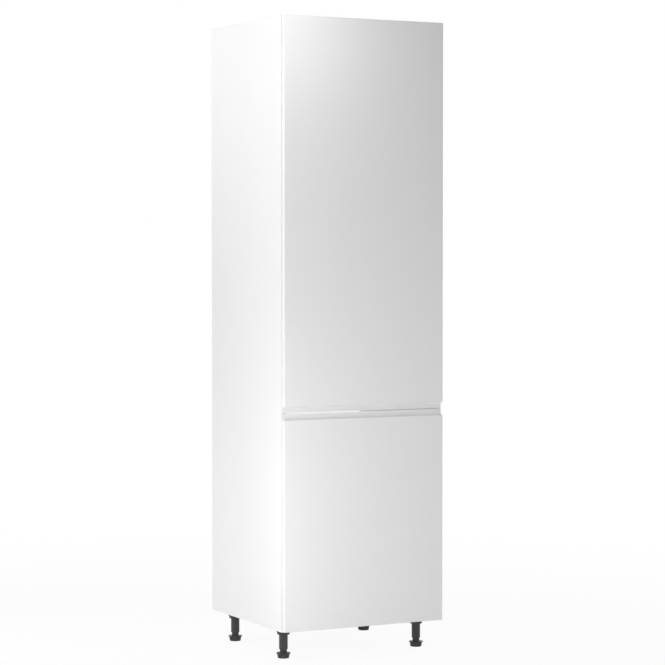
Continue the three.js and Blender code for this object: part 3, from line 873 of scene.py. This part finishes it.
def cross_cutter(reach, width, depth):
    """A cross-shaped punch that narrows downwards, with its top at Z = 0."""
    arms = []
    for size in ((reach, width), (width, reach)):
        arm = block("punch", (-size[0], -size[1], -depth), (size[0], size[1], depth))
        pick(arm, "FACE", lambda f: f.calc_center_median().z < -depth / 2)
        bpy.ops.transform.resize(value=(RECESS_TAPER, RECESS_TAPER, 1))
        arms.append(close(arm))
    unite(*arms)
    return arms[0]


def screw_head(name, radius, height, material):
    """A domed screw head with a cross recess, standing on Z = 0."""
    crown = height * HEAD_CROWN
    head = close(grown(name, HEAD_SIDES, [
        (radius * HEAD_FOOT_RADIUS, 0), (radius, height * HEAD_FOOT_HEIGHT),
        *arc(radius - crown, height - crown, crown, 0, 90, steps=6),
    ]), SMALL_CURVES)
    punch = cross_cutter(radius * RECESS_REACH, radius * RECESS_WIDTH, height * RECESS_DEPTH)
    punch.data.transform(Matrix.Translation((0, 0, height)))
    cut(head, punch)
    smooth(head, FINE_CURVES)
    paint(head, material)
    return head


def cam_disc():
    """A cam that draws two boards together, as seen in its bore: a disc with a collar and a cross recess."""
    top = rings_from(CAM_RADIUS, -CAM_SINK, CAM_TOP)
    disc = close(grown("cam", HOLE_SIDES, [(top[0][0], -CAM_BORE), *top]), FINE_CURVES)
    punch = cross_cutter(*CAM_RECESS)
    punch.data.transform(Matrix.Translation((0, 0, -CAM_SINK - CAM_RECESS_SINK)))
    cut(disc, punch)
    smooth(disc, FINE_CURVES)
    paint(disc, ZINC)
    return disc


def cam_cap():
    """A pressed-in white cap that hides a cam."""
    cap = close(grown("cap", HOLE_SIDES, [
        (CAM_RADIUS - CAP_PLAY, -CAM_BORE / 2),
        (CAM_RADIUS - CAP_PLAY, 0),
        (CAM_RADIUS + CAP_CROWN, 0),
        *arc(CAM_RADIUS, CAP_BRIM, CAP_CROWN, 0, 90, steps=6),
        (CAM_RADIUS / 2, CAP_HEIGHT),
    ]), FINE_CURVES)
    paint(cap, WHITE_CAP)
    return cap


def cams():
    """The cams in the boards, hidden by caps under the fixed shelf."""
    cam, cap = cam_disc(), cam_cap()
    for node, normal in CAM_FACES.items():
        capped = node == "fixed_shelf"
        model = cap if capped else cam
        copies = [copy_of(model, "cam", facing(place, normal)) for place in cam_places(node, normal)]
        piece = join(node + ("_caps" if capped else "_cams"), copies)
        seat(piece, body_of(node), "carcass_board" if capped else "bracket_steel")
    discard(cam, cap)


# Hinges

HINGES = sorted(name.removesuffix("_cup") for name in NODES if name.endswith("_cup"))
BUMPER_GAP = 2 * MM
CUP_WALL = 1 * MM
CUP_CORNER = 1.5 * MM
CUP_RIM = 1.2 * MM
CUP_OFFSET = 7 * MM
FLANGE = 1 * MM
FLANGE_WIDTH = 19 * MM
FLANGE_HEIGHT = 56 * MM
FLANGE_CORNER = 6 * MM
FLANGE_CORNER_STEPS = 10
FLANGE_OFFSET = 9.5 * MM
FLANGE_EASE = 0.2 * MM
CUP_SCREW_SPREAD = 45 * MM
EAR_INSIDE = 5.5 * MM
EAR_OUTSIDE = 7 * MM
EAR_MARGIN = 2.5 * MM
EAR_STEPS = 5
PIN_RADIUS = 1.5 * MM
PIN_CHAMFER = 0.3 * MM
PIN_SIDES = 24
PIN_PROUD = 0.4 * MM
FORK_GAP = 2.9 * MM
OUTER_PIN = (12.2 * MM, 3.8 * MM)
INNER_PIN = (8.4 * MM, 7.5 * MM)
PLATE_SETBACK = 37 * MM
PLATE_SCREW_SPREAD = 32 * MM
PLATE_THICKNESS = 2.2 * MM
ARM_HALF = 6.9 * MM
ARM_PIVOTS = ((-26 * MM, 21.4 * MM), (-17.5 * MM, -6.8 * MM))
ARM_SLOPE = math.atan2(12.5, 32)
ARM_FIXING = Vector((-24.6 * MM, 50 * MM, 0))
ARM_ADJUSTING = Vector((-30.5 * MM, 28 * MM, 0))
SMALL_SCREW = (3.6 * MM, 1.1 * MM)
LARGE_SCREW = (4.6 * MM, 1.6 * MM)
RIVET_RADIUS = 2.3 * MM
RIVET_HEIGHT = 0.7 * MM
RIVET_SIDES = 28
PRESSING_EASE = {"_arm": 0.3 * MM, "_outer_link": 0.25 * MM, "_inner_link": 0.25 * MM, "_plate": 0.35 * MM}


def pin(place, low, high):
    """A round pin across the cup, with chamfered ends."""
    tip = PIN_RADIUS - PIN_CHAMFER
    piece = close(grown("pin", PIN_SIDES, [
        (tip, low), (PIN_RADIUS, low + PIN_CHAMFER), (PIN_RADIUS, high - PIN_CHAMFER), (tip, high),
    ]), COARSE_CURVES)
    piece.data.transform(facing(Vector((place[0], 0, place[1])), Y))
    return piece


def ear(side):
    """One of the two upright ears that hold the pins in the cup."""
    floor_depth = BUMPER_GAP + CUP_DEPTH - CUP_WALL / 2
    low_x, high_x = INNER_PIN[0] - EAR_MARGIN, OUTER_PIN[0] + EAR_MARGIN
    low_y, high_y = sorted((side * EAR_INSIDE, side * EAR_OUTSIDE))
    top = OUTER_PIN[1] - EAR_MARGIN
    piece = block("ear", (low_x, low_y, top), (high_x, high_y, floor_depth))
    split(piece, (0, 0, INNER_PIN[1]), Z)
    pick(piece, "VERT", lambda v: near(v.co.x, low_x) and near(v.co.z, top))
    lean = OUTER_PIN[0] - EAR_MARGIN - low_x
    bpy.ops.transform.translate(value=(lean, 0, 0))
    pick(piece, "EDGE", lambda e: edge_at(z=top)(e) and square_to(e, "x"))
    bevel(EAR_MARGIN / 2, EAR_STEPS)
    pick(piece, "EDGE", edge_at(x=low_x, z=INNER_PIN[1]))
    bevel(EAR_MARGIN, EAR_STEPS)
    close(piece, SMALL_CURVES)
    round_edges(piece, FLANGE_EASE)
    return piece


def drawn_bowl(deep, brim):
    """The bowl of a cup, grown from its floor out over its brim and back down inside."""
    inside = CUP_RADIUS - CUP_WALL
    return close(grown("bowl", ROUND_SIDES, [
        *arc(CUP_RADIUS - CUP_CORNER, deep - CUP_CORNER, CUP_CORNER, 90, 0),
        *arc(CUP_RADIUS - CUP_WALL / 2, brim + CUP_WALL / 2, CUP_WALL / 2, 0, -180, steps=8),
        *arc(inside - CUP_WALL, deep - 2 * CUP_WALL, CUP_WALL, 0, 90),
    ]), FINE_CURVES)


def cup_flange(brim):
    """The flange that is screwed to the door. Its hole has two sides fewer than the bowl, so that no two of
    their facets lie in one plane."""
    wing = block(
        "flange",
        (-FLANGE_OFFSET - FLANGE_WIDTH / 2, -FLANGE_HEIGHT / 2, brim),
        (-FLANGE_OFFSET + FLANGE_WIDTH / 2, FLANGE_HEIGHT / 2, BUMPER_GAP),
    )
    pick(wing, "EDGE", lambda e: square_to(e, "x", "y"))
    bevel(FLANGE_CORNER, FLANGE_CORNER_STEPS)
    close(wing)
    round_edges(wing, FLANGE_EASE)
    outside = CUP_RADIUS + CUP_RIM
    rings = [(outside - FLANGE_EASE, brim), (outside, brim + FLANGE_EASE), (outside, BUMPER_GAP)]
    unite(wing, close(grown("rim", ROUND_SIDES, rings)))
    bored(wing, [Vector((0, 0, brim))], Z, CUP_RADIUS - CUP_WALL / 4, CUP_DEPTH, ROUND_SIDES - 2)
    return wing


def cup_model():
    """A hinge cup, mouth down at the carcass front: a drawn bowl on a flange, with ears and pins."""
    brim = BUMPER_GAP - FLANGE
    bowl = drawn_bowl(BUMPER_GAP + CUP_DEPTH, brim)
    cup = cup_flange(brim)
    riveted = EAR_OUTSIDE + PIN_PROUD
    inner_pin = (INNER_PIN, -riveted, riveted)
    outer_pins = ((OUTER_PIN, FORK_GAP, riveted), (OUTER_PIN, -riveted, -FORK_GAP))
    for other in [bowl, ear(-1), ear(1), *(pin(*ends) for ends in (inner_pin, *outer_pins))]:
        unite(cup, other)
    merge(cup, facets=False)
    smooth(cup, FINE_CURVES)
    paint(cup, NICKEL)
    return cup


def hinge_frame(hinge):
    """Where a hinge stands: on the panel's inner face, at the carcass front, at the cup's height."""
    low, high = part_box(hinge + "_cup")
    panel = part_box("side_panel_right")[0]
    return Vector((panel.x, panel.y, (low.z + high.z) / 2))


def cups():
    """A copy of the cup for each hinge, turned mouth forward."""
    model = cup_model()
    for hinge in HINGES:
        place = hinge_frame(hinge) - X * CUP_OFFSET
        node = hinge + "_cup"
        piece = copy_of(model, node + "_drawn", facing(place, -Y))
        seat(piece, body_of(node), "hinge_steel", node)
    discard(model)


def pressings():
    """The hinges' arms, links and plates, with the eased edges of pressed and cast metal."""
    for hinge in HINGES:
        for kind, width in PRESSING_EASE.items():
            node = hinge + kind
            piece = eased(node, "_pressing", width)
            smooth(piece, FINE_CURVES, weighted=True)
            paint(piece, NICKEL)
            seat(piece, body_of(node), "hinge_steel", node)


def rivet_head():
    """The low round head of a rivet that carries a link in an arm."""
    rings = arc(RIVET_RADIUS - RIVET_HEIGHT, 0, RIVET_HEIGHT, 0, 90)
    head = close(grown("rivet", RIVET_SIDES, rings), COARSE_CURVES)
    paint(head, NICKEL)
    return head


def hinge_fasteners():
    """The screws of cups, plates and arms, and the arms' rivets."""
    small = screw_head("small screw", *SMALL_SCREW, NICKEL)
    large = screw_head("large screw", *LARGE_SCREW, NICKEL)
    rivet = rivet_head()
    slope = Vector((-math.cos(ARM_SLOPE), -math.sin(ARM_SLOPE), 0))
    for hinge in HINGES:
        origin = hinge_frame(hinge)
        wing = origin - X * (CUP_OFFSET + FLANGE_OFFSET) - Y * (BUMPER_GAP - FLANGE)
        plate = origin - X * PLATE_THICKNESS + Y * PLATE_SETBACK
        groups = {
            "cup": [(small, wing + Z * side * CUP_SCREW_SPREAD / 2, Y) for side in (-1, 1)],
            "plate": [(large, plate + Z * side * PLATE_SCREW_SPREAD / 2, -X) for side in (-1, 1)],
            "arm": [(large, origin + ARM_FIXING, slope), (small, origin + ARM_ADJUSTING, -X)],
        }
        for pivot in ARM_PIVOTS:
            for side in (-1, 1):
                groups["arm"].append((rivet, origin + Vector((*pivot, side * ARM_HALF)), Z * side))
        for part, entries in groups.items():
            node = hinge + "_" + part
            copies = [copy_of(model, "head", facing(place, way)) for model, place, way in entries]
            seat(join(node + "_fasteners", copies), body_of(node), "hinge_steel")
    discard(small, large, rivet)


# Legs. Their profiles are in millimetres, outwards and upwards

CORNERS = ("front_left", "front_right", "rear_left", "rear_right")
FOOT_RIBS = 40
FACES_PER_RIB = 4
FOOT_SIDES = FOOT_RIBS * FACES_PER_RIB
RIB_DEPTH = 0.8 * MM
RIB_START = 2 * MM
RIM_RADIUS = 24 * MM
RIM_HEIGHT = 3.5 * MM
BASE_RADIUS = 19 * MM
BASE_TOP_RADIUS = 21.25 * MM
BASE_HEIGHT = 14.5 * MM
SCREW_RADIUS = 12.5 * MM
SCREW_ROOT = 1.5 * MM
SCREW_ROOT_RISE = 0.8 * MM
SCREW_TIP = 1.5 * MM
THREAD_DEPTH = 1.1 * MM
THREAD_PITCH = 4 * MM
THREAD_SIDES = 10
THREAD_STEPS = 64
THREAD_START = 0.5 * MM
THREAD_END = 2 * MM
TUBE_RADIUS = 14.75 * MM
SOCKET_RADIUS = 21 * MM
SOCKET_DRAFT = 0.8 * MM
FLANGE_RADIUS = 32 * MM
FLANGE_THICK = 4 * MM
SOCKET_HOLE_CIRCLE = 26.5 * MM
GUSSETS = 4
GUSSET_ROOT = 3 * MM
GUSSET_REACH = 9 * MM
GUSSET_HALF = 1.5 * MM
GUSSET_HEIGHT = 11 * MM
GUSSET_MIDDLE = 5 * MM
GUSSET_TAPER = 8.6 * MM
SOLE = ((-0.8, 0), (-0.2, 0.3), (0, 0.9))
RIM_UNDERSIDE = ((-1.2, 0), (-0.4, 0.35), (0, 1.2))
RIM_TOP = ((0, -1.2), (-0.4, -0.35), (-1.2, 0))
TUBE_MOUTH = ((-1.9, 0.6), (-1.4, 0), (-0.7, 0), (-0.15, 0.25), (0, 0.8))
TUBE_FLARE = ((0, -3), (0.5, -1.6), (2.2, -0.2), (2.2, 0))
SOCKET_MOUTH = ((0.6, 2.5), (0.9, 0.3), (1.4, 0))
SOCKET_FOOT = ((-1.5, 0), (-0.45, 0.45), (0, 1.5))
SOCKET_FILLET = ((0, -1.5), (0.5, -0.5), (1.5, 0))
FLANGE_UNDERSIDE = ((-0.8, 0), (-0.2, 0.25), (0, 0.9))
FLANGE_TOP = ((0, -0.3), (-0.3, 0))


def foot_model(height):
    """The foot: a ribbed base, a rim and the core of its screw."""
    rim_top = BASE_HEIGHT + RIM_HEIGHT
    core = SCREW_RADIUS - THREAD_DEPTH
    base = grown("foot", FOOT_SIDES, [
        *rings_from(BASE_RADIUS, 0, SOLE),
        (BASE_TOP_RADIUS, BASE_HEIGHT),
        *rings_from(RIM_RADIUS, BASE_HEIGHT, RIM_UNDERSIDE),
        *rings_from(RIM_RADIUS, rim_top, RIM_TOP),
        (SCREW_RADIUS + SCREW_ROOT, rim_top),
        (core, rim_top + SCREW_ROOT_RISE),
        (core, height - SCREW_TIP),
        (core - SCREW_TIP, height),
    ])
    step = 2 * math.pi / FOOT_SIDES

    def groove(face):
        centre = face.calc_center_median()
        on_wall = RIB_START < centre.z < BASE_HEIGHT - SKIN and centre.xy.length < BASE_TOP_RADIUS
        return on_wall and math.floor(math.atan2(centre.y, centre.x) / step) % FACES_PER_RIB == 0

    pick(base, "FACE", groove)
    bpy.ops.mesh.extrude_region_shrink_fatten(TRANSFORM_OT_shrink_fatten={"value": -RIB_DEPTH})
    return close(base, FINE_CURVES)


def thread_model(low, high):
    """A rounded thread that winds up the foot's screw, made from one ring on the screw's core."""
    core = SCREW_RADIUS - THREAD_DEPTH
    piece = begin(
        "thread", bpy.ops.mesh.primitive_circle_add,
        vertices=THREAD_SIDES, radius=THREAD_DEPTH,
        location=(core, 0, low + THREAD_DEPTH), rotation=(math.pi / 2, 0, 0),
    )
    mode("OBJECT")
    turns = int((high - low - 2 * THREAD_DEPTH) / THREAD_PITCH)
    apply(
        piece, "SCREW", angle=2 * math.pi, screw_offset=THREAD_PITCH, iterations=turns,
        steps=THREAD_STEPS, render_steps=THREAD_STEPS, axis="Z", use_merge_vertices=True,
    )
    mode("EDIT")
    pick(piece, "EDGE", lambda e: e.is_boundary)
    bpy.ops.mesh.edge_face_add()
    return close(piece, COARSE_CURVES)


def tube_model(low, high):
    """The tube that the screw runs in, with a chamfered mouth and a flare under the socket."""
    return close(grown("tube", ROUND_SIDES, [
        *rings_from(TUBE_RADIUS, low, TUBE_MOUTH),
        *rings_from(TUBE_RADIUS, high, TUBE_FLARE),
    ]), FINE_CURVES)


def socket_model(low, high):
    """The socket: a cup with draft, a fillet and four gussets under a round flange."""
    under = high - FLANGE_THICK
    body = close(grown("socket", ROUND_SIDES, [
        *rings_from(TUBE_RADIUS, low, SOCKET_MOUTH),
        *rings_from(SOCKET_RADIUS, low, SOCKET_FOOT),
        *rings_from(SOCKET_RADIUS + SOCKET_DRAFT, under, SOCKET_FILLET),
        *rings_from(FLANGE_RADIUS, under, FLANGE_UNDERSIDE),
        *rings_from(FLANGE_RADIUS, high, FLANGE_TOP),
    ]), FINE_CURVES)
    for turn in range(GUSSETS):
        fin = block(
            "gusset",
            (SOCKET_RADIUS - GUSSET_ROOT, -GUSSET_HALF, under - GUSSET_HEIGHT),
            (SOCKET_RADIUS + GUSSET_REACH, GUSSET_HALF, under + MM),
        )
        pick(fin, "VERT", lambda v: v.co.x > SOCKET_RADIUS and v.co.z < under - GUSSET_MIDDLE)
        bpy.ops.transform.translate(value=(-GUSSET_TAPER, 0, 0))
        close(fin)
        fin.data.transform(Matrix.Rotation(turn * 2 * math.pi / GUSSETS, 4, "Z"))
        unite(body, fin)
    smooth(body, FINE_CURVES)
    return body


def socket_screws(screw, centre, under):
    """Four screws in the flange of a socket, between its gussets."""
    heads = []
    for turn in range(GUSSETS):
        angle = (2 * turn + 1) * math.pi / GUSSETS
        reach = Vector((math.cos(angle), math.sin(angle), 0)) * SOCKET_HOLE_CIRCLE
        heads.append(copy_of(screw, "screw", facing(centre + reach + Z * under, -Z)))
    return heads


def legs():
    """Feet, tubes and sockets, each modelled once and copied to the four corners."""
    foot_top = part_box("foot_front_left")[1].z
    tube_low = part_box("leg_tube_front_left")[0]
    socket_low, socket_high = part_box("leg_socket_front_left")
    parts = (
        (foot_model(foot_top), "foot_", "_base"),
        (tube_model(tube_low.z, socket_low.z), "leg_tube_", "_sleeve"),
        (socket_model(socket_low.z, socket_high.z), "leg_socket_", "_cup"),
    )
    thread = thread_model(BASE_HEIGHT + RIM_HEIGHT + THREAD_START, foot_top - THREAD_END)
    screw = screw_head("socket screw", *STOUT_SCREW, ZINC)
    for corner in CORNERS:
        low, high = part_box("foot_" + corner)
        centre = Vector(((low.x + high.x) / 2, (low.y + high.y) / 2, 0))
        for model, prefix, suffix in parts:
            piece = copy_of(model, prefix + corner + suffix, Matrix.Translation(centre))
            paint(piece, BLACK)
            seat(piece, body_of(prefix + corner), "leg_plastic", prefix + corner)
        winding = copy_of(thread, "foot_" + corner + "_thread", Matrix.Translation(centre))
        paint(winding, BLACK)
        seat(winding, body_of("foot_" + corner), "leg_plastic")
        node = "leg_socket_" + corner
        heads = socket_screws(screw, centre, socket_high.z - FLANGE_THICK)
        seat(join(node + "_screws", heads), body_of(node), "bracket_steel")
    discard(*(model for model, *_ in parts), thread, screw)


# Wall brackets

BRACKET_THICKNESS = 2 * MM
BRACKET_EASE = 0.3 * MM
BRACKET_SCREW_SPREAD = 32 * MM
BRACKET_SCREW_INSET = 14 * MM


def wall_brackets():
    """The angles that fix the housing to a wall, each with two screws into its side panel."""
    model = screw_head("bracket screw", *STOUT_SCREW, ZINC)
    for side, inward in (("left", 1), ("right", -1)):
        node = "wall_bracket_" + side
        low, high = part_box(node)
        piece = eased(node, "_pressing", BRACKET_EASE)
        smooth(piece, FINE_CURVES, weighted=True)
        paint(piece, ZINC)
        seat(piece, body_of(node), "bracket_steel", node)
        panel_x = (low.x if side == "left" else high.x) + inward * BRACKET_THICKNESS
        middle = Vector((panel_x, low.y + BRACKET_SCREW_INSET, (low.z + high.z) / 2))
        places = [middle + Z * step * BRACKET_SCREW_SPREAD / 2 for step in (-1, 1)]
        heads = [copy_of(model, "screw", facing(place, X * inward)) for place in places]
        seat(join(node + "_screws", heads), body_of(node), "bracket_steel")
    discard(model)


# Camera, at the photograph's viewing angle

CAMERA_PLACE = Vector((-3.553, -7.016, 1.345))
CAMERA_YAW = math.radians(27.027)
CAMERA_PITCH = math.radians(1.948)
CAMERA_LENS = 123.58
SENSOR_WIDTH = 36


def camera():
    data = bpy.data.cameras.new("camera")
    data.lens = CAMERA_LENS
    data.sensor_width = SENSOR_WIDTH
    eye = bpy.data.objects.new("camera", data)
    eye.location = CAMERA_PLACE
    eye.rotation_euler = (math.pi / 2 - CAMERA_PITCH, 0, -CAMERA_YAW)
    bpy.context.scene.collection.objects.link(eye)
    bpy.context.scene.camera = eye


# Stage: floor, world and lamps

FLOOR_SIZE = 60
FLOOR_WHITE = 0.86
FADE_START = 1.2
FADE_END = 3.6
FLOOR_LIGHT = 0.93
WORLD_LIGHT = 0.25
DOOR_FACE = -0.29
REAR_FACE = 0.29


def seen_directly(tree):
    """1 for rays from the camera, off glossy surfaces or through clear ones."""
    path = tree.add("ShaderNodeLightPath")
    either = tree.math("MAXIMUM", path.outputs["Is Camera Ray"], path.outputs["Is Glossy Ray"])
    return tree.math("MAXIMUM", either, path.outputs["Is Transmission Ray"])


def blend(tree, share, plain, bright, out):
    """Two shaders mixed into the output: the second has this share."""
    mixed = tree.add("ShaderNodeMixShader")
    for value, socket in zip((share, plain.outputs[0], bright.outputs[0]), mixed.inputs):
        tree.join(value, socket)
    tree.join(mixed.outputs[0], out.inputs["Surface"])


def floor():
    """The floor takes the object's shadow, and fades to plain white further off."""
    deselect()
    bpy.ops.mesh.primitive_plane_add(size=FLOOR_SIZE)
    ground = bpy.context.object
    ground.name = "floor"
    material, tree, out = new_material("white floor")
    lit = tree.add("ShaderNodeBsdfDiffuse", Color=grey(FLOOR_WHITE))
    white = tree.add("ShaderNodeEmission", Color=grey(1), Strength=1.0)
    place = tree.add("ShaderNodeTexCoord").outputs["Object"]
    away = tree.add("ShaderNodeVectorMath", {"operation": "LENGTH"}, Vector=place).outputs["Value"]
    fade = tree.span(away, FADE_START, FADE_END, to_low=FLOOR_LIGHT)
    blend(tree, tree.math("MULTIPLY", fade, seen_directly(tree)), lit, white, out)
    ground.data.materials.append(material)


def world():
    """Dim light from all round, in front of a white background."""
    sky = bpy.data.worlds.new("studio")
    sky.use_nodes = True
    tree = Tree(sky.node_tree)
    out = tree.add("ShaderNodeOutputWorld")
    dim = tree.add("ShaderNodeBackground", Color=grey(1), Strength=WORLD_LIGHT)
    white = tree.add("ShaderNodeBackground", Color=grey(1), Strength=1.0)
    blend(tree, seen_directly(tree), dim, white, out)
    bpy.context.scene.world = sky


def lamp(name, place, aim, size, power, mirrored=False):
    """A soft lamp of this width and height in metres and this power in watts."""
    data = bpy.data.lights.new(name, "AREA")
    data.shape = "RECTANGLE"
    data.size, data.size_y = size
    data.energy = power
    light = bpy.data.objects.new(name, data)
    light.location = place
    light.rotation_euler = (Vector(aim) - Vector(place)).to_track_quat("-Z", "Y").to_euler()
    light.visible_camera = False
    light.visible_glossy = mirrored
    bpy.context.scene.collection.objects.link(light)


def lamps():
    lamp("high_left", (-2.6, -2.0, 3.6), (0, 0, 1.0), (1.5, 1.5), 18.3, mirrored=True)
    lamp("upper_graze", (-0.9, -0.65, 2.2), (0.0, DOOR_FACE, 1.9), (0.4, 0.8), 1.4)
    lamp("tall_graze", (-1.2, -0.9, 1.2), (0.1, DOOR_FACE, 1.2), (0.4, 2.2), 7.0)
    lamp("lower_graze", (-0.9, -0.9, 0.45), (0.0, DOOR_FACE, 0.3), (0.5, 0.6), 2.9)
    lamp("door_corner", (-0.3, -0.7, 2.15), (-0.3, DOOR_FACE, 2.1), (0.2, 0.2), 0.7)
    lamp("front_low", (0.2, -2.8, 0.5), (0, DOOR_FACE, 0.3), (2.0, 0.8), 11.1)
    lamp("side_low", (-1.5, 0.5, 0.35), (-0.3, 0.15, 0.4), (0.8, 0.5), 4.4)
    lamp("side_high", (-1.4, 0.5, 2.3), (-0.3, 0.15, 2.0), (0.8, 0.5), 8.3)
    lamp("rear_right", (3.0, 1.8, 2.0), (0, 0.2, 1.0), (1.5, 2.0), 48)
    lamp("rear", (0.5, 3.4, 2.0), (0.1, REAR_FACE, 1.1), (1.6, 2.0), 25)


camera()
world()
floor()
lamps()
bpy.context.scene.view_settings.view_transform = "Standard"

side_panels()
boards()
back_sheet()
door("lower_door", True)
door("upper_door", False)
bumpers()
cams()
pressings()
cups()
hinge_fasteners()
legs()
wall_brackets()
